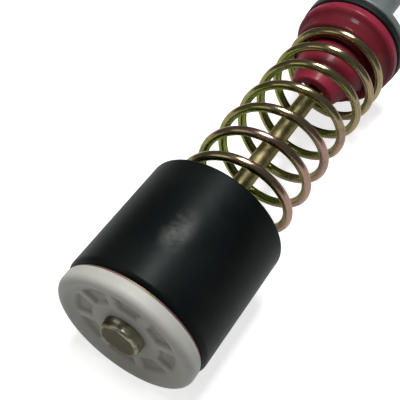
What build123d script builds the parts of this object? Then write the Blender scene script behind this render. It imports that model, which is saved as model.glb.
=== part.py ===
from build123d import *
import os

# Suspension spring unit of a washing machine, hanging as in use.
# Millimetres, +Z up along the rod, origin at the middle of the rod head's lower face.

# Rod with a round upset head and a turned-down end for a thread
rod_radius = 3.0
head_radius = 6.2
head_height = 3.2
head_edge_round = 0.9
thread_radius = 2.5
thread_length = 20
free_end_length = 24
rod_end_chamfer = 0.8

# Lower seat, a white disc with a raised rim, and pockets between ribs in its dished face
hole_clearance = 0.15
seat_inset = 0.5
seat_web = 3.2
rim_rise = 1.5
rim_width = 2.7
rim_slope_width = 1.9
rim_outer_round = 2.0
rim_inner_round = 0.5
seat_upper_round = 0.6
hub_width = 3.8
pocket_length = 6.2
pocket_depth = 1.2
pocket_corner = 0.9
rib_pairs = 4
rib_width = 2.0
rib_angle = 10

# Plate under the sleeve
plate_inset = 1.0
plate_thickness = 0.5

# Rubber sleeve, a tube with an inward floor that the spring stands on
sleeve_gap = 0.4
sleeve_wall = 4.0
sleeve_height = 40.5
sleeve_floor = 2.0
sleeve_foot_round = 2.0
sleeve_lip_round = 0.7

# Spring of round wire, closed at its foot and eased towards a flat tip at its top, lying to one side of the sleeve
spring_radius = 16.15
spring_offset = 0.3
wire_radius = 1.45
spring_free_length = 116.3
spring_pitch = 11.8
coil_gap = 0.2
closed_turns = 1.0
lower_easing_turns = 0.5
upper_pitch = 9.6
upper_turns = 1.9
tip_pitch = 0.8
tip_turns = 0.38
spring_tip_angle = 10
spring_end_gap = 0.1

# Upper seat with a short collar and a tapered tongue inside the spring
collar_clearance = 2.6
collar_height = 5.0
tongue_height = 13.4
tongue_taper = 4.6
tongue_tip_round = 0.8
tongue_bore_clearance = 2.3
tongue_offset = 1.0
tongue_turn = -9
land_inset = 1.6
land_height = 3.7
land_round = 1.2
cove_height = 3.4
flange_overhang = 2.3
flange_height = 3.4
flange_round = 1.1

# Rubber ring between the upper seat and the bush
ring_proud = 0.4
ring_thickness = 3.0
ring_round = 0.6

# Flanged bush that slides on the rod
running_clearance = 0.06
spigot_wall = 3.3
spigot_length = 18.0
spigot_clearance = 0.25
spigot_end_gap = 0.3
bush_flange_proud = 0.2
bush_flange_thickness = 3.0
bush_flange_round = 0.8
boss_wall = 2.44
boss_height = 33.0
boss_root_round = 1.5
boss_end_chamfer = 0.6

# Sizes that follow from those above
hole_radius = rod_radius + hole_clearance
sleeve_inner_radius = spring_radius + wire_radius + sleeve_gap
sleeve_radius = sleeve_inner_radius + sleeve_wall
seat_radius = sleeve_radius - seat_inset
plate_radius = sleeve_radius - plate_inset
pocket_inner_radius = head_radius + hub_width
pocket_outer_radius = pocket_inner_radius + pocket_length
rim_crest_radius = seat_radius - rim_width
dish_radius = rim_crest_radius - rim_slope_width
collar_radius = spring_radius - wire_radius - collar_clearance
tongue_tip_radius = collar_radius - tongue_taper
tongue_bore_radius = rod_radius + tongue_bore_clearance
land_radius = spring_radius + wire_radius - land_inset
flange_radius = land_radius + flange_overhang
ring_radius = flange_radius + ring_proud
bush_flange_radius = ring_radius + bush_flange_proud
bush_bore_radius = rod_radius + running_clearance
spigot_radius = bush_bore_radius + spigot_wall
boss_radius = bush_bore_radius + boss_wall
seat_bore_radius = spigot_radius + spigot_clearance

# Heights, from the rod head up
seat_z = head_height
rim_z = seat_z - rim_rise
plate_z = seat_z + seat_web
sleeve_z = plate_z + plate_thickness
sleeve_floor_z = sleeve_z + sleeve_floor
spring_z = sleeve_floor_z + spring_end_gap
land_z = spring_z + spring_free_length + spring_end_gap
collar_z = land_z - collar_height
tongue_z = collar_z - tongue_height
cove_z = land_z + land_height
flange_z = cove_z + cove_height
ring_z = flange_z + flange_height
bush_z = ring_z + ring_thickness
spigot_z = bush_z - spigot_length
bore_step_z = spigot_z - spigot_end_gap
boss_z = bush_z + bush_flange_thickness
boss_end_z = boss_z + boss_height
rod_end_z = boss_end_z + free_end_length
thread_z = rod_end_z - thread_length

# Runs of the spring from its foot up, each a pitch and a number of turns
closed_pitch = 2 * wire_radius + coil_gap
easing_pitch = (closed_pitch + spring_pitch) / 2
lower_rise = closed_pitch * closed_turns + easing_pitch * lower_easing_turns
upper_rise = upper_pitch * upper_turns + tip_pitch * tip_turns
open_turns = (spring_free_length - 2 * wire_radius - lower_rise - upper_rise) / spring_pitch
coil_runs = (
    (closed_pitch, closed_turns),
    (easing_pitch, lower_easing_turns),
    (spring_pitch, open_turns),
    (upper_pitch, upper_turns),
    (tip_pitch, tip_turns),
)


def coil_run(pitch, turns):
    """A run of round wire at one pitch, from the +X side at height zero."""
    with BuildPart() as run:
        with BuildLine() as path:
            Helix(pitch, pitch * turns, spring_radius)
        with BuildSketch(Plane.XZ):
            with Locations((spring_radius, 0)):
                Circle(wire_radius)
        sweep(path=path.line, is_frenet=True)
    return run.part


os.makedirs("parts", exist_ok=True)

# Rod: a round head with a rounded edge, a round shank and a thinner end for the thread
with BuildPart() as rod:
    with BuildSketch(Plane.XY):
        Circle(head_radius)
    extrude(amount=head_height)
    fillet(rod.edges().sort_by(Axis.Z)[0], head_edge_round)
    with BuildSketch(Plane.XY.offset(head_height)):
        Circle(rod_radius)
    extrude(amount=thread_z - head_height)
    with BuildSketch(Plane.XY.offset(thread_z)):
        Circle(thread_radius)
    extrude(amount=thread_length)
    chamfer(rod.faces().sort_by(Axis.Z)[-1].edges(), rod_end_chamfer)
rod.part.label = "rod"
export_step(rod.part, "parts/rod.step")

# Lower seat: a disc with a rounded, raised rim, and pockets between ribs round the rod head
with BuildPart() as lower_seat:
    with BuildSketch(Plane.XZ):
        with BuildLine():
            Polyline(
                (hole_radius, plate_z),
                (hole_radius, seat_z),
                (dish_radius, seat_z),
                (rim_crest_radius, rim_z),
                (seat_radius, rim_z),
                (seat_radius, plate_z),
                close=True,
            )
        make_face()
    revolve(axis=Axis.Z)
    rims = lower_seat.edges().filter_by(GeomType.CIRCLE)
    outer_rims = rims.filter_by(lambda e: abs(e.radius - seat_radius) < 0.01).sort_by(Axis.Z)
    crest_rims = rims.filter_by(lambda e: abs(e.radius - rim_crest_radius) < 0.01)
    fillet(outer_rims[0], rim_outer_round)
    fillet(outer_rims[-1], seat_upper_round)
    fillet(crest_rims, rim_inner_round)
    with BuildSketch(Plane.XY.offset(seat_z)) as pockets:
        Circle(pocket_outer_radius)
        Circle(pocket_inner_radius, mode=Mode.SUBTRACT)
        with PolarLocations(0, rib_pairs, start_angle=rib_angle, angular_range=180):
            Rectangle(2 * pocket_outer_radius, rib_width, mode=Mode.SUBTRACT)
        fillet(pockets.vertices(), pocket_corner)
    extrude(amount=pocket_depth, mode=Mode.SUBTRACT)
lower_seat.part.label = "lower_seat"
export_step(lower_seat.part, "parts/lower_seat.step")

# Seat plate: a thin round plate with a hole for the rod
with BuildPart() as seat_plate:
    with BuildSketch(Plane.XY.offset(plate_z)):
        Circle(plate_radius)
        Circle(hole_radius, mode=Mode.SUBTRACT)
    extrude(amount=plate_thickness)
seat_plate.part.label = "seat_plate"
export_step(seat_plate.part, "parts/seat_plate.step")

# Damping sleeve: a thick tube with a floor under the spring's foot
with BuildPart() as damping_sleeve:
    with BuildSketch(Plane.XY.offset(sleeve_z)):
        Circle(sleeve_radius)
    extrude(amount=sleeve_height)
    fillet(damping_sleeve.edges().sort_by(Axis.Z)[0], sleeve_foot_round)
    with BuildSketch(Plane.XY.offset(sleeve_floor_z)):
        Circle(sleeve_inner_radius)
    extrude(amount=sleeve_height - sleeve_floor, mode=Mode.SUBTRACT)
    fillet(damping_sleeve.faces().sort_by(Axis.Z)[-1].edges(), sleeve_lip_round)
    with BuildSketch(Plane.XY.offset(sleeve_z)):
        Circle(hole_radius)
    extrude(amount=sleeve_floor, mode=Mode.SUBTRACT)
damping_sleeve.part.label = "damping_sleeve"
export_step(damping_sleeve.part, "parts/damping_sleeve.step")

# Spring: runs of wire that meet end to end, with the upper tip at a set angle
wire_runs = [coil_run(pitch, turns) for pitch, turns in coil_runs]
all_turns = sum(turns for _, turns in coil_runs)
run_z = spring_z + wire_radius
run_angle = spring_tip_angle - 360 * all_turns
with BuildPart() as spring:
    for wire_run, (pitch, turns) in zip(wire_runs, coil_runs):
        with Locations(Location((spring_offset, 0, run_z), (0, 0, run_angle))):
            add(wire_run)
        run_z += pitch * turns
        run_angle += 360 * turns
spring.part.label = "spring"
export_step(spring.part, "parts/spring.step")

# Upper seat: a turned form with a flange, a land on the spring and a collar in it, with a tongue on one side
with BuildPart() as upper_seat:
    with BuildSketch(Plane.XZ):
        with BuildLine():
            Polyline(
                (seat_bore_radius, ring_z),
                (seat_bore_radius, bore_step_z),
                (tongue_bore_radius, bore_step_z),
                (tongue_bore_radius, tongue_z),
                (tongue_tip_radius, tongue_z),
                (collar_radius, collar_z),
                (collar_radius, land_z),
                (land_radius, land_z),
                (land_radius, cove_z),
            )
            TangentArc((land_radius, cove_z), (flange_radius, flange_z), tangent=(0, 1))
            Polyline((flange_radius, flange_z), (flange_radius, ring_z), (seat_bore_radius, ring_z))
        make_face()
    revolve(axis=Axis.Z)
    circles = upper_seat.edges().filter_by(GeomType.CIRCLE)
    fillet(circles.filter_by(lambda e: abs(e.radius - flange_radius) < 0.01), flange_round)
    circles = upper_seat.edges().filter_by(GeomType.CIRCLE)
    land_edges = circles.filter_by(lambda e: abs(e.radius - land_radius) < 0.01)
    fillet(land_edges.sort_by(Axis.Z)[0], land_round)
    tip_edges = circles.filter_by(lambda e: abs(e.radius - tongue_tip_radius) < 0.01)
    fillet(tip_edges, tongue_tip_round)
    cut_width = collar_radius + tongue_offset
    cut_middle = (collar_radius - tongue_offset) / 2
    with BuildSketch(Plane.XY.offset(tongue_z)):
        with Locations(Rotation(0, 0, tongue_turn) * Pos(0, cut_middle, 0)):
            Rectangle(2 * collar_radius, cut_width)
    extrude(amount=tongue_height, mode=Mode.SUBTRACT)
upper_seat.part.label = "upper_seat"
export_step(upper_seat.part, "parts/upper_seat.step")

# Rubber ring: a flat ring with a rounded rim, round the bush's spigot
with BuildPart() as rubber_ring:
    with BuildSketch(Plane.XY.offset(ring_z)):
        Circle(ring_radius)
        Circle(seat_bore_radius, mode=Mode.SUBTRACT)
    extrude(amount=ring_thickness)
    rim_edges = rubber_ring.edges().filter_by(GeomType.CIRCLE).group_by(SortBy.RADIUS)[-1]
    fillet(rim_edges, ring_round)
rubber_ring.part.label = "rubber_ring"
export_step(rubber_ring.part, "parts/rubber_ring.step")

# Guide bush: a flange on the rubber ring, a spigot in the upper seat and a long boss round the rod
with BuildPart() as guide_bush:
    with BuildSketch(Plane.XZ):
        with BuildLine():
            Polyline(
                (bush_bore_radius, spigot_z),
                (spigot_radius, spigot_z),
                (spigot_radius, bush_z),
                (bush_flange_radius, bush_z),
                (bush_flange_radius, boss_z),
                (boss_radius, boss_z),
                (boss_radius, boss_end_z),
                (bush_bore_radius, boss_end_z),
                close=True,
            )
        make_face()
    revolve(axis=Axis.Z)
    rims = guide_bush.edges().filter_by(GeomType.CIRCLE)
    fillet(rims.filter_by(lambda e: abs(e.radius - bush_flange_radius) < 0.01), bush_flange_round)
    boss_edges = guide_bush.edges().filter_by(GeomType.CIRCLE)
    boss_edges = boss_edges.filter_by(lambda e: abs(e.radius - boss_radius) < 0.01).sort_by(Axis.Z)
    fillet(boss_edges[0], boss_root_round)
    end_edges = guide_bush.edges().filter_by(GeomType.CIRCLE)
    end_edges = end_edges.filter_by(lambda e: abs(e.radius - boss_radius) < 0.01).sort_by(Axis.Z)
    chamfer(end_edges[-1], boss_end_chamfer)
guide_bush.part.label = "guide_bush"
export_step(guide_bush.part, "parts/guide_bush.step")
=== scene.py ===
"""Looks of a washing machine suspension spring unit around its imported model. Metres, +Z up along the rod."""
import math

import bpy
from mathutils import Matrix, Vector, noise


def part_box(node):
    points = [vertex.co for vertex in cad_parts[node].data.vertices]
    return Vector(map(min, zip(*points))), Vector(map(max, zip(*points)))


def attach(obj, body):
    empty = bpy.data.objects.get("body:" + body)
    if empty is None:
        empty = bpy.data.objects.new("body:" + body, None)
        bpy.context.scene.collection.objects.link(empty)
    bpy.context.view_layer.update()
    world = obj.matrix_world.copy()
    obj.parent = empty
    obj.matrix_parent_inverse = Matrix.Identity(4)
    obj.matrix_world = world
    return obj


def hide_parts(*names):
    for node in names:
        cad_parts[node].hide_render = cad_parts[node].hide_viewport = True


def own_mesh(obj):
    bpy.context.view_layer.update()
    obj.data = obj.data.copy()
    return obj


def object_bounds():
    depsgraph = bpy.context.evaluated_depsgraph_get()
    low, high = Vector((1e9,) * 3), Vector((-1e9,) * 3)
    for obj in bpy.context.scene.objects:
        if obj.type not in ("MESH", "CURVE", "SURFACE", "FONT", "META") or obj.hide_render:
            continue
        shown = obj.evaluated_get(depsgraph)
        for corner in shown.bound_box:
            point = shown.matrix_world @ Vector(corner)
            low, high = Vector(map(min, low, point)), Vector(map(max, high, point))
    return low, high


MM = 0.001
UP = Vector((0, 0, 1))

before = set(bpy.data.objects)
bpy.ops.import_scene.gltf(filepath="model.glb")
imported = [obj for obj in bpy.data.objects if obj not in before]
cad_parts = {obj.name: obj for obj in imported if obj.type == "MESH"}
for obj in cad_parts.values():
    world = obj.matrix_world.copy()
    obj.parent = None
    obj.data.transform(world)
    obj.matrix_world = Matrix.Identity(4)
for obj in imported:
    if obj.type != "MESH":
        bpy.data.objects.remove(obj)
cad_low, cad_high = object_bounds()

# Camera at the photograph's viewing angle: below the unit, looking up along it, rolled
CAMERA_PLACE = Vector((-0.3, -190.35, -69.43)) * MM
CAMERA_TARGET = Vector((-6.49, 0.0, 49.03)) * MM
CAMERA_ROLL = 0.683
CAMERA_LENS = 69.68

# The surface that the unit lies on in the photograph is parallel to the rod and faces this way
SURFACE_NORMAL = Vector((-0.365, -0.931, 0.0)).normalized()
SURFACE_GAP = 0.2 * MM
SURFACE_SIZE = 3.0
SURFACE_COLOUR = (0.5, 0.5, 0.5, 1)

# Levels of the surface and the room: as the camera sees them, as gloss mirrors them, and the room as a light
SURFACE_GLOW = 0.75
MIRRORED_GLOW = 0.2
ROOM_LEVEL = 0.1
MIRRORED_ROOM = 0.03

# Lights: the key stands off the surface, the fill is small and near, the last one is behind
AIM_HEIGHT = 0.03
KEY_DISTANCE = 0.9
KEY_RISE = 0.2
KEY_WIDTH = 0.24
KEY_HEIGHT = 0.6
KEY_POWER = 11.0
FILL_PLACE = Vector((-0.14, -0.08, -0.09))
FILL_SIZE = 0.1
FILL_POWER = 0.039
FILL_TINT = (1.0, 0.965, 0.83)
BACK_PLACE = Vector((0.25, 0.55, 0.25))
BACK_SIZE = 0.6
BACK_POWER = 2.0

# Spring: wire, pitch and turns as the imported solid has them, with eased changes of pitch
WIRE_RADIUS = 1.45 * MM
COIL_GAP = 0.2 * MM
CLOSED_TURNS = 1.0
LOWER_EASING_TURNS = 0.5
OPEN_PITCH = 11.8 * MM
UPPER_PITCH = 9.6 * MM
UPPER_TURNS = 1.9
TIP_PITCH = 0.8 * MM
TIP_TURNS = 0.38
TIP_ANGLE = math.radians(10)
TIP_BEVEL = 0.35 * MM
TIP_SIZE = 0.78
PITCH_BLUR_TURNS = 0.16
STEPS_PER_TURN = 96
WIRE_SIDES = 24
LINE_STRETCH = (60, 2600, 1)

# Coils above the sleeve: where they begin and how they lie in the photograph, by shares of the length
FREE_SHARE = 0.34
FREE_EASING = 0.07
FREE_BULGE = 0.4 * MM
TOP_NARROWING = 0.65 * MM
TOP_SHIFT = 1.0 * MM
SHIFT_AT_SLEEVE = 0.4
COIL_LEAN = 1.5 * MM
LEAN_FADES_FROM = 0.8
LEAN_FADES_TO = 0.93

# Rod: head, shank and a thread on the turned-down end
SHANK_RADIUS = 3.0 * MM
HEAD_HEIGHT = 3.2 * MM
HEAD_EDGE = 0.9 * MM
DENT_DEPTH = 0.4 * MM
DENT_RISE = 0.3 * MM
DENT_FADES_FROM = 0.8 * MM
THREAD_RADIUS = 2.5 * MM
THREAD_DEPTH = 0.42 * MM
THREAD_PITCH = 0.8 * MM
THREAD_LENGTH = 20 * MM
ROD_END_CHAMFER = 0.8 * MM
ROD_SHARP_ANGLE = math.radians(40)
ROD_SIDES = 96
HEAD_STEPS = 8
SHANK_STEPS = 60
STEPS_PER_THREAD = 10

# Lower seat: a raised rim, and pockets between ribs in the dished face
RIM_LOWER_ROUND = 2.0 * MM
RIM_UPPER_ROUND = 0.6 * MM
RIM_RISE = 1.5 * MM
SEAT_FACE_Z = 3.2 * MM
DISH_RADIUS = 15.2 * MM
HUB_RADIUS = 10.0 * MM
POCKET_OUTER_RADIUS = 16.2 * MM
POCKET_DEPTH = 0.9 * MM
POCKET_SLOPE = 1.7 * MM
POCKET_LIP = 0.15 * MM
POCKET_CORNER = 1.2 * MM
POCKET_COUNT = 8
RIB_HALF_WIDTH = 1.0 * MM
RIB_ANGLE = math.radians(10)
SEAT_HOLE_RADIUS = 3.15 * MM
SEAT_SHARP_ANGLE = math.radians(50)
SEAT_SIDES = 480
SEAT_FACE_STEPS = 120
SEAT_ROUND_STEPS = 12

# Sleeve: the middle, sizes and lengthwise stretch of its dusty patch, which is partly a painted highlight on
# the sheen's line
DUST_AND_SHEEN_PLACE = Vector((-5.2, -21.4, 25.0)) * MM
DUST_AND_SHEEN_INNER = 0.5 * MM
DUST_AND_SHEEN_OUTER = 5.0 * MM
DUST_AND_SHEEN_STRETCH = Vector((1, 1, 0.55))

# Sharp edges of the moulded pieces
SHARP_ANGLE = math.radians(32)


def look_at(place, target, roll):
    """The matrix of a camera at place that looks at target, turned by roll about its line of sight."""
    ahead = (target - place).normalized()
    level = ahead.cross(UP).normalized()
    above = level.cross(ahead)
    right = math.cos(roll) * level + math.sin(roll) * above
    up = math.cos(roll) * above - math.sin(roll) * level
    turn = Matrix((right, up, -ahead)).transposed()
    return Matrix.Translation(place) @ turn.to_4x4()


def add_camera():
    """The photograph's camera."""
    data = bpy.data.cameras.new("camera")
    data.lens = CAMERA_LENS
    data.sensor_width = 36
    data.clip_start = 0.01
    data.clip_end = 50
    camera = bpy.data.objects.new("camera", data)
    camera.matrix_world = look_at(CAMERA_PLACE, CAMERA_TARGET, CAMERA_ROLL)
    bpy.context.scene.collection.objects.link(camera)
    bpy.context.scene.camera = camera


def add_mesh(name, points, faces):
    """A smooth mesh object of these points and faces."""
    mesh = bpy.data.meshes.new(name)
    mesh.from_pydata(points, [], faces)
    mesh.shade_smooth()
    piece = bpy.data.objects.new(name, mesh)
    bpy.context.scene.collection.objects.link(piece)
    return piece


def add_area_light(name, place, target, width, height, power, tint=(1, 1, 1)):
    """A soft rectangular light at place that faces target and isn't seen itself."""
    data = bpy.data.lights.new(name, "AREA")
    data.shape = "RECTANGLE"
    data.size = width
    data.size_y = height
    data.energy = power
    data.color = tint
    light = bpy.data.objects.new(name, data)
    light.matrix_world = look_at(place, target, 0.0)
    light.visible_camera = False
    bpy.context.scene.collection.objects.link(light)


def ring_faces(first, second, count):
    """Quads between two rings of points, each given by its first index."""
    faces = []
    for k in range(count):
        n = (k + 1) % count
        faces.append((first + k, first + n, second + n, second + k))
    return faces


def smooth_step(low, high, value):
    """Zero below low, one above high, and eased between them."""
    t = min(max((value - low) / (high - low), 0.0), 1.0)
    return t * t * (3 - 2 * t)


def add_node(tree, kind, **settings):
    """A node of this kind in a tree, with these settings."""
    made = tree.nodes.new(kind)
    for key, value in settings.items():
        setattr(made, key, value)
    return made


def join_values(tree, operation, first, second):
    """A sum, product or other of two values, the second an output or a number."""
    node = add_node(tree, "ShaderNodeMath", operation=operation)
    tree.links.new(first, node.inputs[0])
    if isinstance(second, (int, float)):
        node.inputs[1].default_value = second
    else:
        tree.links.new(second, node.inputs[1])
    return node.outputs["Value"]


class Finish:
    """A material with one Principled shader, and short calls for the nodes that feed it."""

    def __init__(self, name, metallic=0.0, specular=0.5):
        self.material = bpy.data.materials.new(name)
        self.material.use_nodes = True
        self.tree = self.material.node_tree
        self.shader = self.tree.nodes["Principled BSDF"]
        self.hold("Metallic", metallic)
        self.hold("Specular IOR Level", specular)

    def hold(self, socket, value):
        """Sets one of the shader's sockets to a value that is the same all over."""
        self.shader.inputs[socket].default_value = value

    def feed(self, socket, source):
        """Joins source to one of the shader's sockets."""
        self.tree.links.new(source, self.shader.inputs[socket])

    def node(self, kind, **settings):
        """A node of this kind with these settings."""
        return add_node(self.tree, kind, **settings)

    def place(self, space, stretch=(1, 1, 1)):
        """Texture places in this space, stretched."""
        coordinates = self.node("ShaderNodeTexCoord")
        mapping = self.node("ShaderNodeMapping")
        mapping.inputs["Scale"].default_value = stretch
        self.tree.links.new(coordinates.outputs[space], mapping.inputs["Vector"])
        return mapping.outputs["Vector"]

    def axis(self, place, letter):
        """One coordinate of a place."""
        parts = self.node("ShaderNodeSeparateXYZ")
        self.tree.links.new(place, parts.inputs["Vector"])
        return parts.outputs[letter]

    def radius(self):
        """Distance from the rod's middle line."""
        length = self.node("ShaderNodeVectorMath", operation="LENGTH")
        self.tree.links.new(self.place("Object", (1, 1, 0)), length.inputs[0])
        return length.outputs["Value"]

    def distance(self, place, point):
        """Distance of a place from a point."""
        node = self.node("ShaderNodeVectorMath", operation="DISTANCE")
        self.tree.links.new(place, node.inputs[0])
        node.inputs[1].default_value = point
        return node.outputs["Value"]

    def outward(self):
        """How far the surface faces away from the rod: one outside a coil, minus one inside it."""
        direction = self.node("ShaderNodeVectorMath", operation="NORMALIZE")
        self.tree.links.new(self.place("Object", (1, 1, 0)), direction.inputs[0])
        product = self.node("ShaderNodeVectorMath", operation="DOT_PRODUCT")
        self.tree.links.new(direction.outputs["Vector"], product.inputs[0])
        self.tree.links.new(self.place("Normal"), product.inputs[1])
        return product.outputs["Value"]

    def openness(self, distance):
        """How open the surface is within this distance: one in the clear and less in hollows."""
        node = self.node("ShaderNodeAmbientOcclusion", samples=8)
        node.inputs["Distance"].default_value = distance
        return node.outputs["AO"]

    def noise(self, place, scale, detail, roughness, distortion=0.0):
        """Smooth noise about 0.5 at these places."""
        texture = self.node("ShaderNodeTexNoise")
        texture.inputs["Scale"].default_value = scale
        texture.inputs["Detail"].default_value = detail
        texture.inputs["Roughness"].default_value = roughness
        texture.inputs["Distortion"].default_value = distortion
        self.tree.links.new(place, texture.inputs["Vector"])
        return texture.outputs["Fac"]

    def span(self, value, low, high, to_low=0.0, to_high=1.0):
        """Value moved from one range to another, eased and held at its ends."""
        node = self.node("ShaderNodeMapRange", interpolation_type="SMOOTHSTEP")
        self.tree.links.new(value, node.inputs["Value"])
        node.inputs["From Min"].default_value = low
        node.inputs["From Max"].default_value = high
        node.inputs["To Min"].default_value = to_low
        node.inputs["To Max"].default_value = to_high
        return node.outputs["Result"]

    def join(self, operation, first, second):
        """A sum, product or other of two values, the second an output or a number."""
        return join_values(self.tree, operation, first, second)

    def mix(self, factor, first, second):
        """A colour between two colours, each a colour or an output."""
        node = self.node("ShaderNodeMix", data_type="RGBA")
        self.tree.links.new(factor, node.inputs["Factor"])
        for socket, colour in ((node.inputs["A"], first), (node.inputs["B"], second)):
            if isinstance(colour, tuple):
                socket.default_value = (*colour, 1)
            else:
                self.tree.links.new(colour, socket)
        return node.outputs["Result"]

    def relief(self, height, depth):
        """Fine relief from a height, this deep for a height of one."""
        node = self.node("ShaderNodeBump")
        node.inputs["Strength"].default_value = 1.0
        node.inputs["Distance"].default_value = depth
        self.tree.links.new(height, node.inputs["Height"])
        self.feed("Normal", node.outputs["Normal"])


def spring_finish():
    """The wire's yellow zinc: greener inside the coils and to the left, pinker outside and to the right."""
    gold = (0.37, 0.305, 0.165)
    green = (0.23, 0.28, 0.065)
    pink = (0.41, 0.26, 0.215)
    smudge = (0.15, 0.12, 0.085)
    dark_line = (0.09, 0.062, 0.05)
    finish = Finish("spring", metallic=1.0)
    finish.hold("Specular Tint", (0.95, 0.88, 0.75, 1))
    finish.hold("Anisotropic", 0.6)
    finish.hold("Anisotropic Rotation", 0.25)
    round_rod = finish.node("ShaderNodeTangent", direction_type="RADIAL", axis="Z")
    finish.feed("Tangent", round_rod.outputs["Tangent"])
    body = finish.place("Object")
    patches = finish.noise(body, 110, detail=4, roughness=0.65, distortion=1.0)
    drift = finish.noise(body, 30, detail=2, roughness=0.5, distortion=0.4)
    lines = finish.noise(finish.place("UV", LINE_STRETCH), 1, detail=4, roughness=0.7)
    waves = finish.noise(body, 260, detail=3, roughness=0.55)
    dull = finish.span(finish.noise(body, 160, detail=4, roughness=0.65), 0.5, 0.75)
    outward = finish.outward()
    to_right = finish.join("MULTIPLY", finish.axis(body, "X"), 8.0)
    higher = finish.span(finish.axis(body, "Z"), 60 * MM, 120 * MM, 0.0, 0.15)

    # Colour: gold, then green, pink, smudges and drawn lines over it
    greenness = finish.join("SUBTRACT", patches, finish.join("MULTIPLY", outward, 0.22))
    greenness = finish.join("SUBTRACT", greenness, to_right)
    pinkness = finish.join("ADD", drift, finish.join("MULTIPLY", outward, 0.12))
    pinkness = finish.join("SUBTRACT", pinkness, higher)
    pinkness = finish.join("ADD", pinkness, finish.join("MULTIPLY", to_right, 0.7))
    colour = finish.mix(finish.span(greenness, 0.42, 0.62), gold, green)
    colour = finish.mix(finish.span(pinkness, 0.54, 0.68), colour, pink)
    colour = finish.mix(finish.join("MULTIPLY", dull, 0.6), colour, smudge)
    colour = finish.mix(finish.span(lines, 0.52, 0.68, 0.0, 0.65), colour, dark_line)
    finish.feed("Base Color", colour)

    line_roughness = finish.span(lines, 0.3, 0.7, 0.14, 0.27)
    finish.feed("Roughness", finish.join("ADD", finish.join("MULTIPLY", dull, 0.14), line_roughness))
    finish.relief(finish.join("ADD", lines, finish.join("MULTIPLY", waves, 2.5)), 0.022 * MM)
    return finish.material


def head_and_shank_finish():
    """The rod's duller zinc, with lengthwise drawing marks, and its dark beaten head with a rubbed side."""
    dark_gold = (0.27, 0.23, 0.105)
    pale_gold = (0.38, 0.315, 0.16)
    tarnished = (0.17, 0.155, 0.075)
    fleck = (0.1, 0.08, 0.038)
    dark_steel = (0.1, 0.098, 0.09)
    grey_steel = (0.128, 0.125, 0.114)
    rubbed_steel = (0.4, 0.385, 0.285)
    finish = Finish("rod", metallic=1.0)
    finish.hold("Specular Tint", (0.7, 0.66, 0.45, 1))
    body = finish.place("Object")
    marks = finish.noise(finish.place("Object", (1, 1, 0.03)), 1400, detail=3, roughness=0.6)
    flecks = finish.noise(finish.place("Object", (1, 1, 0.35)), 650, detail=4, roughness=0.7, distortion=0.6)
    patches = finish.noise(body, 220, detail=4, roughness=0.6, distortion=0.5)
    tarnish = finish.noise(body, 60, detail=3, roughness=0.6)
    patch_share = finish.span(patches, 0.4, 0.65)

    # Where the head is, and its rounded edge and side
    head = finish.span(finish.axis(body, "Z"), HEAD_HEIGHT - 0.2 * MM, HEAD_HEIGHT, 1.0, 0.0)
    edge = finish.join("MULTIPLY", finish.span(finish.radius(), 4.9 * MM, 5.5 * MM), head)

    shank_colour = finish.mix(patch_share, dark_gold, pale_gold)
    shank_colour = finish.mix(finish.span(tarnish, 0.46, 0.62), shank_colour, tarnished)
    shank_colour = finish.mix(finish.span(flecks, 0.48, 0.64, 0.0, 0.6), shank_colour, fleck)
    head_colour = finish.mix(patch_share, dark_steel, grey_steel)
    rubbed = finish.join("MULTIPLY", edge, finish.span(patches, 0.3, 0.6))
    head_colour = finish.mix(rubbed, head_colour, rubbed_steel)
    finish.feed("Base Color", finish.mix(head, shank_colour, head_colour))

    roughness = finish.span(patches, 0.35, 0.7, 0.34, 0.5)
    roughness = finish.join("ADD", roughness, finish.join("MULTIPLY", head, 0.12))
    finish.feed("Roughness", finish.join("SUBTRACT", roughness, finish.join("MULTIPLY", edge, 0.16)))
    finish.relief(finish.join("ADD", marks, patches), 0.02 * MM)
    return finish.material


def rubber_finish():
    """The sleeve's satin black rubber, with faint specks and a dusty grey patch that is partly a painted
    highlight along the sheen.
    """
    deep_black = (0.0028, 0.0038, 0.0037)
    soft_black = (0.005, 0.0065, 0.0063)
    dust_and_sheen_grey = (0.075, 0.076, 0.07)
    speck_grey = (0.022, 0.024, 0.022)
    finish = Finish("damping_sleeve", specular=0.085)
    finish.hold("Specular Tint", (0.88, 1.0, 0.98, 1))
    body = finish.place("Object")
    cloud = finish.noise(body, 150, detail=4, roughness=0.6, distortion=0.3)
    haze = finish.noise(body, 45, detail=3, roughness=0.55, distortion=0.4)
    speck = finish.noise(body, 420, detail=4, roughness=0.7)
    # Dusty grey patch on the sheen's line: partly dust, partly a painted highlight that brightens the sheen
    off_patch = finish.distance(finish.place("Object", DUST_AND_SHEEN_STRETCH), DUST_AND_SHEEN_PLACE * DUST_AND_SHEEN_STRETCH)
    near_patch = finish.span(off_patch, DUST_AND_SHEEN_INNER, DUST_AND_SHEEN_OUTER, 1.0, 0.0)
    dust_and_sheen = finish.join("MULTIPLY", near_patch, finish.span(cloud, 0.36, 0.64))
    colour = finish.mix(finish.span(haze, 0.4, 0.7), deep_black, soft_black)
    colour = finish.mix(dust_and_sheen, colour, dust_and_sheen_grey)
    colour = finish.mix(finish.span(speck, 0.64, 0.8, 0.0, 0.25), colour, speck_grey)
    finish.feed("Base Color", colour)
    finish.feed("Roughness", finish.span(haze, 0.35, 0.7, 0.38, 0.44))
    finish.relief(speck, 0.04 * MM)
    return finish.material


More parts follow.
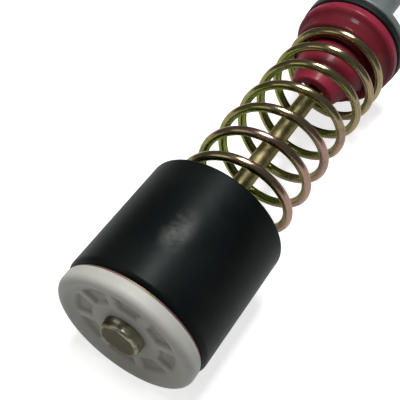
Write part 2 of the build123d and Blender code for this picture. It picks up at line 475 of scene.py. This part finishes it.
def nylon_finish():
    """The lower seat's natural white nylon: faintly translucent and scuffed, its pocket floors darker where
    thinner over the plate and partly from painted shade, with painted shade in its hollows.
    """
    grey_white = (0.395, 0.393, 0.36)
    pale_white = (0.43, 0.428, 0.395)
    grimy = (0.31, 0.30, 0.265)
    scuffed = (0.24, 0.23, 0.2)
    pocket_floor_thin_and_shaded = (0.275, 0.268, 0.225)
    shaded = (0.31, 0.305, 0.27)
    finish = Finish("lower_seat", specular=0.4)
    finish.hold("Subsurface Weight", 0.12)
    finish.hold("Subsurface Radius", (1.0, 0.9, 0.75))
    finish.hold("Subsurface Scale", 1.2 * MM)
    body = finish.place("Object")
    cloud = finish.noise(body, 70, detail=4, roughness=0.6)
    grime = finish.noise(body, 260, detail=5, roughness=0.65, distortion=0.8)
    scuff = finish.noise(finish.place("Object", (0.15, 1, 1)), 700, detail=3, roughness=0.6, distortion=1.5)
    sunk = finish.span(finish.axis(body, "Z"), SEAT_FACE_Z + 0.1 * MM, SEAT_FACE_Z + 0.7 * MM)
    within_rim = finish.span(finish.radius(), 16.4 * MM, 17.0 * MM, 0.8, 0.0)
    colour = finish.mix(finish.span(cloud, 0.35, 0.7), grey_white, pale_white)
    colour = finish.mix(finish.span(grime, 0.55, 0.75, 0.0, 0.35), colour, grimy)
    colour = finish.mix(finish.span(scuff, 0.66, 0.76, 0.0, 0.3), colour, scuffed)
    # Pocket floors darker: thinner translucent nylon over the dark plate, and partly painted shade in the
    # pockets
    colour = finish.mix(finish.join("MULTIPLY", sunk, within_rim), colour, pocket_floor_thin_and_shaded)
    # Painted shade: the colour darkens in hollows, by how open the surface is
    colour = finish.mix(finish.span(finish.openness(2.5 * MM), 0.45, 0.95), shaded, colour)
    finish.feed("Base Color", colour)
    finish.feed("Roughness", finish.span(grime, 0.3, 0.7, 0.42, 0.55))
    finish.relief(finish.join("ADD", cloud, grime), 0.03 * MM)
    return finish.material


def red_plastic_finish():
    """The upper seat's dark red plastic: satin gloss, duller on its land and cove, with painted shade on the
    land, the cove and in hollows.
    """
    deep_red = (0.195, 0.015, 0.031)
    bright_red = (0.235, 0.019, 0.04)
    dusty_red = (0.21, 0.075, 0.09)
    painted_cove_shade = (0.085, 0.0045, 0.0085)
    shaded_red = (0.075, 0.005, 0.0065)
    finish = Finish("upper_seat", specular=0.12)
    finish.hold("Coat Weight", 0.12)
    finish.hold("Coat Roughness", 0.13)
    flow = finish.noise(finish.place("Object", (1, 1, 2.5)), 90, detail=4, roughness=0.6, distortion=0.8)
    dust = finish.noise(finish.place("Object"), 620, detail=4, roughness=0.7)
    reach = finish.radius()
    past_collar = finish.span(reach, 14.0 * MM, 15.5 * MM)
    within_rim = finish.span(reach, 17.0 * MM, 17.8 * MM, 1.0, 0.0)
    cove = finish.join("MULTIPLY", past_collar, within_rim)
    colour = finish.mix(finish.span(flow, 0.35, 0.68), deep_red, bright_red)
    colour = finish.mix(finish.span(dust, 0.6, 0.8, 0.0, 0.3), colour, dusty_red)
    # Painted shade: the land and the cove darkened by their radius
    colour = finish.mix(finish.join("MULTIPLY", cove, 0.85), colour, painted_cove_shade)
    # Painted shade: the colour darkens in hollows, by how open the surface is
    colour = finish.mix(finish.span(finish.openness(6.0 * MM), 0.35, 0.8), shaded_red, colour)
    finish.feed("Base Color", colour)
    flow_roughness = finish.span(flow, 0.3, 0.7, 0.4, 0.52)
    finish.feed("Roughness", finish.join("ADD", flow_roughness, finish.join("MULTIPLY", cove, 0.25)))
    finish.relief(finish.join("ADD", flow, finish.join("MULTIPLY", dust, 0.3)), 0.05 * MM)
    return finish.material


def ring_finish():
    """The rubber ring's matt black-green rubber."""
    black_green = (0.005, 0.0075, 0.0065)
    grey_green = (0.011, 0.014, 0.0125)
    finish = Finish("rubber_ring", specular=0.18)
    body = finish.place("Object")
    cloud = finish.noise(body, 140, detail=4, roughness=0.6)
    speck = finish.noise(body, 900, detail=3, roughness=0.6)
    finish.feed("Base Color", finish.mix(finish.span(cloud, 0.4, 0.7), black_green, grey_green))
    finish.feed("Roughness", finish.span(cloud, 0.35, 0.7, 0.48, 0.62))
    finish.relief(speck, 0.03 * MM)
    return finish.material


def bush_finish():
    """The guide bush's blue-grey plastic, satin with faint moulding clouds."""
    dark_grey = (0.1, 0.125, 0.12)
    pale_grey = (0.125, 0.15, 0.145)
    finish = Finish("guide_bush", specular=0.45)
    body = finish.place("Object")
    cloud = finish.noise(body, 80, detail=4, roughness=0.6, distortion=0.5)
    grain = finish.noise(body, 1300, detail=3, roughness=0.6)
    finish.feed("Base Color", finish.mix(finish.span(cloud, 0.35, 0.68), dark_grey, pale_grey))
    finish.feed("Roughness", finish.span(cloud, 0.35, 0.7, 0.36, 0.5))
    finish.relief(grain, 0.015 * MM)
    return finish.material


def plate_finish():
    """The thin plate's matt zinc, with green and pink patches."""
    gold = (0.21, 0.165, 0.105)
    green = (0.18, 0.195, 0.06)
    pink = (0.24, 0.115, 0.13)
    finish = Finish("seat_plate", metallic=1.0)
    body = finish.place("Object")
    patches = finish.noise(body, 70, detail=3, roughness=0.6, distortion=0.6)
    drift = finish.noise(body, 48, detail=2, roughness=0.5, distortion=0.4)
    colour = finish.mix(finish.span(patches, 0.42, 0.6), gold, green)
    colour = finish.mix(finish.span(drift, 0.44, 0.58), colour, pink)
    finish.feed("Base Color", colour)
    finish.feed("Roughness", finish.span(patches, 0.3, 0.7, 0.6, 0.75))
    return finish.material


def seen_level(tree, path, seen, mirrored):
    """A strength for what the camera sees, and another for what metal and glass mirror."""
    either = join_values(tree, "MAXIMUM", path.outputs["Is Glossy Ray"], path.outputs["Is Transmission Ray"])
    mirrored_level = join_values(tree, "MULTIPLY", either, mirrored)
    camera_level = join_values(tree, "MULTIPLY", path.outputs["Is Camera Ray"], seen)
    return join_values(tree, "ADD", camera_level, mirrored_level)


def surface_finish():
    """The white surface: white where it is seen, with the unit's shadow kept, and clear from behind."""
    material = bpy.data.materials.new("surface")
    material.use_nodes = True
    tree = material.node_tree
    tree.nodes.clear()
    path = add_node(tree, "ShaderNodeLightPath")
    geometry = add_node(tree, "ShaderNodeNewGeometry")
    paper = add_node(tree, "ShaderNodeBsdfDiffuse")
    paper.inputs["Color"].default_value = SURFACE_COLOUR
    glow = add_node(tree, "ShaderNodeEmission")
    tree.links.new(seen_level(tree, path, SURFACE_GLOW, MIRRORED_GLOW), glow.inputs["Strength"])
    lit = add_node(tree, "ShaderNodeAddShader")
    tree.links.new(paper.outputs["BSDF"], lit.inputs[0])
    tree.links.new(glow.outputs["Emission"], lit.inputs[1])
    clear = add_node(tree, "ShaderNodeBsdfTransparent")
    away = join_values(tree, "MAXIMUM", geometry.outputs["Backfacing"], path.outputs["Is Shadow Ray"])
    choice = add_node(tree, "ShaderNodeMixShader")
    tree.links.new(away, choice.inputs["Fac"])
    tree.links.new(lit.outputs["Shader"], choice.inputs[1])
    tree.links.new(clear.outputs["BSDF"], choice.inputs[2])
    output = add_node(tree, "ShaderNodeOutputMaterial")
    tree.links.new(choice.outputs["Shader"], output.inputs["Surface"])
    return material


def coil_height(turn, runs):
    """Height of the wire's middle above the spring's foot at this turn, at even pitch within each run."""
    height = WIRE_RADIUS
    for pitch, turns in runs[:-1]:
        if turn <= turns:
            return height + pitch * turn
        height += pitch * turns
        turn -= turns
    return height + runs[-1][0] * turn


def eased_coil_height(turn, runs):
    """The same height with each change of pitch spread over part of a turn."""
    samples = 9
    total = 0.0
    for k in range(samples):
        shift = (2 * k / (samples - 1) - 1) * PITCH_BLUR_TURNS
        total += coil_height(turn + shift, runs)
    return total / samples


def free_coil(share, angle):
    """Changes of radius, place and height of the coils above the sleeve, as the photograph shows them."""
    free = smooth_step(FREE_SHARE, FREE_SHARE + FREE_EASING, share)
    rise = min(max((share - FREE_SHARE) / (1 - FREE_SHARE), 0.0), 1.0)
    wider = free * (FREE_BULGE - (FREE_BULGE + TOP_NARROWING) * rise)
    aside = TOP_SHIFT * (SHIFT_AT_SLEEVE * free + (1 - SHIFT_AT_SLEEVE) * rise)
    leaning = free * (1 - smooth_step(LEAN_FADES_FROM, LEAN_FADES_TO, share))
    lower = COIL_LEAN * leaning * (1 + math.sin(angle)) / 2
    return wider, aside, lower


def add_spring():
    """The spring as one smooth wire along its helix, with cut ends."""
    low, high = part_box("spring")
    coil_radius = (high.x - low.x) / 2 - WIRE_RADIUS
    length = high.z - low.z
    foot = Vector(((low.x + high.x) / 2, (low.y + high.y) / 2, low.z))
    closed_pitch = 2 * WIRE_RADIUS + COIL_GAP
    easing_pitch = (closed_pitch + OPEN_PITCH) / 2
    lower_rise = closed_pitch * CLOSED_TURNS + easing_pitch * LOWER_EASING_TURNS
    upper_rise = UPPER_PITCH * UPPER_TURNS + TIP_PITCH * TIP_TURNS
    open_turns = (length - 2 * WIRE_RADIUS - lower_rise - upper_rise) / OPEN_PITCH
    runs = (
        (closed_pitch, CLOSED_TURNS),
        (easing_pitch, LOWER_EASING_TURNS),
        (OPEN_PITCH, open_turns),
        (UPPER_PITCH, UPPER_TURNS),
        (TIP_PITCH, TIP_TURNS),
    )
    all_turns = sum(turns for _, turns in runs)
    steps = round(all_turns * STEPS_PER_TURN)
    turn_length = 2 * math.pi * coil_radius
    bevel_turns = TIP_BEVEL / turn_length

    # Stations along the wire: a turn and the section's size, with a small bevel at each end
    stations = [(0.0, TIP_SIZE)]
    stations += [(bevel_turns + (all_turns - 2 * bevel_turns) * k / steps, 1.0) for k in range(steps + 1)]
    stations.append((all_turns, TIP_SIZE))

    points = []
    for turn, size in stations:
        angle = TIP_ANGLE + 2 * math.pi * (turn - all_turns)
        out = Vector((math.cos(angle), math.sin(angle), 0))
        height = eased_coil_height(turn, runs)
        height = min(max(height, WIRE_RADIUS), length - WIRE_RADIUS)
        wider, aside, lower = free_coil(height / length, angle)
        middle = foot + out * (coil_radius + wider) + Vector((aside, 0, height - lower))
        for k in range(WIRE_SIDES):
            t = 2 * math.pi * k / WIRE_SIDES
            points.append(middle + size * WIRE_RADIUS * (math.cos(t) * out + math.sin(t) * UP))
    faces = []
    for k in range(len(stations) - 1):
        faces += ring_faces(k * WIRE_SIDES, (k + 1) * WIRE_SIDES, WIRE_SIDES)
    faces.append(tuple(range(WIRE_SIDES)))
    last = (len(stations) - 1) * WIRE_SIDES
    faces.append(tuple(reversed(range(last, last + WIRE_SIDES))))
    piece = add_mesh("spring_wire", points, faces)

    # Texture places: metres along the wire and around it
    layer = piece.data.uv_layers.new(name="UVMap")
    for face in piece.data.polygons:
        corners = [piece.data.loops[k].vertex_index for k in face.loop_indices]
        sides = [corner % WIRE_SIDES for corner in corners]
        wraps = 0 in sides and WIRE_SIDES - 1 in sides
        for loop_index, corner, side in zip(face.loop_indices, corners, sides):
            if wraps and side == 0:
                side = WIRE_SIDES
            along = stations[corner // WIRE_SIDES][0] * turn_length
            around = side / WIRE_SIDES * 2 * math.pi * WIRE_RADIUS
            layer.data[loop_index].uv = (along, around)

    piece.data.materials.append(spring_finish())
    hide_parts("spring")
    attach(piece, "rod_assembly")
    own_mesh(piece)


def head_dents(out, height):
    """How deep the beaten head is dented in this direction at this height, as a share of the dents' depth."""
    rise = height / MM
    dents = noise.noise(out * 1.6 + Vector((0, 0, rise * 0.3)))
    dents += 0.5 * noise.noise(out * 3.1 + Vector((3, 0, rise * 0.4)))
    return max(dents + 0.25, 0.0)


def rod_stations(head_radius, thread_low):
    """The rod's profile from its head up: radius, height, reach of the beaten edge, and thread depth."""
    face_radius = head_radius - HEAD_EDGE
    side_height = HEAD_HEIGHT - HEAD_EDGE
    shank_length = thread_low - HEAD_HEIGHT
    stations = []
    for k in range(1, HEAD_STEPS + 1):
        share = k / HEAD_STEPS
        stations.append((face_radius * share, 0.0, smooth_step(0.55, 1.0, share), 0.0))
    for k in range(1, HEAD_STEPS + 1):
        t = math.pi / 2 * k / HEAD_STEPS
        stations.append((face_radius + HEAD_EDGE * math.sin(t), HEAD_EDGE * (1 - math.cos(t)), 1.0, 0.0))
    for k in range(1, HEAD_STEPS + 1):
        share = k / HEAD_STEPS
        beaten = 1.0 - smooth_step(0.2, 1.0, share)
        stations.append((head_radius, HEAD_EDGE + side_height * share, beaten, 0.0))
    stations.append((SHANK_RADIUS, HEAD_HEIGHT, 0.0, 0.0))
    for k in range(1, SHANK_STEPS + 1):
        stations.append((SHANK_RADIUS, HEAD_HEIGHT + shank_length * k / SHANK_STEPS, 0.0, 0.0))
    stations.append((THREAD_RADIUS, thread_low, 0.0, 0.0))
    thread_steps = STEPS_PER_THREAD * round(THREAD_LENGTH / THREAD_PITCH)
    for k in range(1, thread_steps + 1):
        rise = THREAD_LENGTH * k / thread_steps
        radius = min(THREAD_RADIUS, THREAD_RADIUS - ROD_END_CHAMFER + THREAD_LENGTH - rise)
        depth = THREAD_DEPTH * smooth_step(0.0, 2 * THREAD_PITCH, rise)
        stations.append((radius, thread_low + rise, 0.0, depth))
    return stations


def add_rod():
    """The rod: a round head with a beaten edge, a drawn shank and a cut thread."""
    low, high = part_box("rod")
    stations = rod_stations((high.x - low.x) / 2, high.z - THREAD_LENGTH)
    points = [Vector((0, 0, low.z))]
    for radius, height, beaten, depth in stations:
        for k in range(ROD_SIDES):
            t = 2 * math.pi * k / ROD_SIDES
            out = Vector((math.cos(t), math.sin(t), 0))
            r, z = radius, height
            if beaten:
                dents = beaten * head_dents(out, height)
                r -= dents * DENT_DEPTH
                z += dents * DENT_RISE * (1 - smooth_step(DENT_FADES_FROM, HEAD_HEIGHT, height))
            if depth:
                phase = (height / THREAD_PITCH - t / (2 * math.pi)) % 1.0
                groove = smooth_step(0.06, 0.46, abs(2 * phase - 1))
                r = max(min(r, THREAD_RADIUS - depth * groove), 0.0)
            points.append(out * r + Vector((0, 0, low.z + z)))
    faces = [(0, 1 + (k + 1) % ROD_SIDES, 1 + k) for k in range(ROD_SIDES)]
    for k in range(len(stations) - 1):
        faces += [face[::-1] for face in ring_faces(1 + (k + 1) * ROD_SIDES, 1 + k * ROD_SIDES, ROD_SIDES)]
    last = 1 + (len(stations) - 1) * ROD_SIDES
    faces.append(tuple(range(last, last + ROD_SIDES)))
    piece = add_mesh("headed_rod", points, faces)
    piece.data.set_sharp_from_angle(angle=ROD_SHARP_ANGLE)
    piece.data.materials.append(head_and_shank_finish())
    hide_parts("rod")
    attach(piece, "rod_assembly")


def pocket_depth(radius, angle):
    """Depth of the lower seat's pockets at this place: full between the ribs, eased at the walls."""
    spacing = 2 * math.pi / POCKET_COUNT
    off_rib = (angle - RIB_ANGLE + spacing / 2) % spacing - spacing / 2
    to_rib = abs(radius * math.sin(off_rib)) - RIB_HALF_WIDTH
    to_ring = min(radius - HUB_RADIUS, POCKET_OUTER_RADIUS - radius)
    inside = min(to_rib, to_ring)
    if inside > 0 and to_rib < POCKET_CORNER and to_ring < POCKET_CORNER:
        inside = POCKET_CORNER - math.hypot(POCKET_CORNER - to_rib, POCKET_CORNER - to_ring)
    return POCKET_DEPTH * smooth_step(-POCKET_LIP, POCKET_SLOPE, inside)


def add_lower_seat():
    """The lower seat: a disc with a rounded rim and soft-edged pockets between ribs."""
    low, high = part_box("lower_seat")
    rim_radius = (high.x - low.x) / 2
    thickness = high.z - low.z
    crest_radius = rim_radius - RIM_LOWER_ROUND

    # Profile stations from the hole's upper edge down, out over the dished face and up the rim
    stations = [(SEAT_HOLE_RADIUS, thickness), (SEAT_HOLE_RADIUS, RIM_RISE)]
    for k in range(1, SEAT_FACE_STEPS + 1):
        radius = SEAT_HOLE_RADIUS + (crest_radius - SEAT_HOLE_RADIUS) * k / SEAT_FACE_STEPS
        stations.append((radius, RIM_RISE * (1 - smooth_step(DISH_RADIUS, crest_radius, radius))))
    for k in range(1, SEAT_ROUND_STEPS + 1):
        t = math.pi / 2 * k / SEAT_ROUND_STEPS
        stations.append((crest_radius + RIM_LOWER_ROUND * math.sin(t), RIM_LOWER_ROUND * (1 - math.cos(t))))
    for k in range(SEAT_ROUND_STEPS + 1):
        t = math.pi / 2 * k / SEAT_ROUND_STEPS
        radius = rim_radius - RIM_UPPER_ROUND * (1 - math.cos(t))
        stations.append((radius, thickness - RIM_UPPER_ROUND * (1 - math.sin(t))))

    points = []
    for radius, height in stations:
        for k in range(SEAT_SIDES):
            t = 2 * math.pi * k / SEAT_SIDES
            sunk = pocket_depth(radius, t) if height < thickness else 0.0
            points.append((radius * math.cos(t), radius * math.sin(t), low.z + height + sunk))
    faces = []
    for k in range(len(stations)):
        first = k * SEAT_SIDES
        second = (k + 1) % len(stations) * SEAT_SIDES
        faces += [face[::-1] for face in ring_faces(first, second, SEAT_SIDES)]
    piece = add_mesh("pocketed_seat", points, faces)
    piece.data.set_sharp_from_angle(angle=SEAT_SHARP_ANGLE)
    piece.data.materials.append(nylon_finish())
    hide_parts("lower_seat")
    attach(piece, "rod_assembly")


def dress_nodes():
    """Finishes of the pieces that are shown as packed."""
    finishes = {
        "seat_plate": plate_finish(),
        "damping_sleeve": rubber_finish(),
        "upper_seat": red_plastic_finish(),
        "rubber_ring": ring_finish(),
        "guide_bush": bush_finish(),
    }
    for name, material in finishes.items():
        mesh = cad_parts[name].data
        mesh.materials.clear()
        mesh.materials.append(material)
        mesh.shade_smooth()
        mesh.set_sharp_from_angle(angle=SHARP_ANGLE)


def add_surface():
    """The white surface that the unit lies on, just clear of the sleeve."""
    low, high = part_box("damping_sleeve")
    distance = (high.x - low.x) / 2 + SURFACE_GAP
    middle = (cad_low + cad_high) / 2
    foot = Vector((0, 0, middle.z)) - SURFACE_NORMAL * distance
    across = SURFACE_NORMAL.cross(UP) * SURFACE_SIZE / 2
    along = UP * SURFACE_SIZE / 2
    corners = [foot + across - along, foot - across - along, foot - across + along, foot + across + along]
    surface = add_mesh("surface", corners, [(0, 1, 2, 3)])
    surface.data.materials.append(surface_finish())


def add_lights():
    """A soft key over the surface, a small warm fill from below and one from behind."""
    middle = (cad_low + cad_high) / 2
    aim = UP * AIM_HEIGHT
    key_place = aim + SURFACE_NORMAL * KEY_DISTANCE + UP * KEY_RISE
    add_area_light("key", key_place, aim, KEY_WIDTH, KEY_HEIGHT, KEY_POWER)
    add_area_light("fill_below", FILL_PLACE, aim, FILL_SIZE, FILL_SIZE, FILL_POWER, FILL_TINT)
    add_area_light("fill_behind", BACK_PLACE, middle, BACK_SIZE, BACK_SIZE, BACK_POWER)


def add_room():
    """A pale room: white where it is seen, and dim as a light."""
    world = bpy.data.worlds.new("studio")
    world.use_nodes = True
    tree = world.node_tree
    path = add_node(tree, "ShaderNodeLightPath")
    seen = seen_level(tree, path, 1 - ROOM_LEVEL, MIRRORED_ROOM)
    background = tree.nodes["Background"]
    background.inputs["Color"].default_value = (1, 1, 1, 1)
    tree.links.new(join_values(tree, "ADD", seen, ROOM_LEVEL), background.inputs["Strength"])
    bpy.context.scene.world = world


add_camera()
add_spring()
add_rod()
add_lower_seat()
dress_nodes()
add_surface()
add_lights()
add_room()
bpy.context.scene.view_settings.view_transform = "Standard"
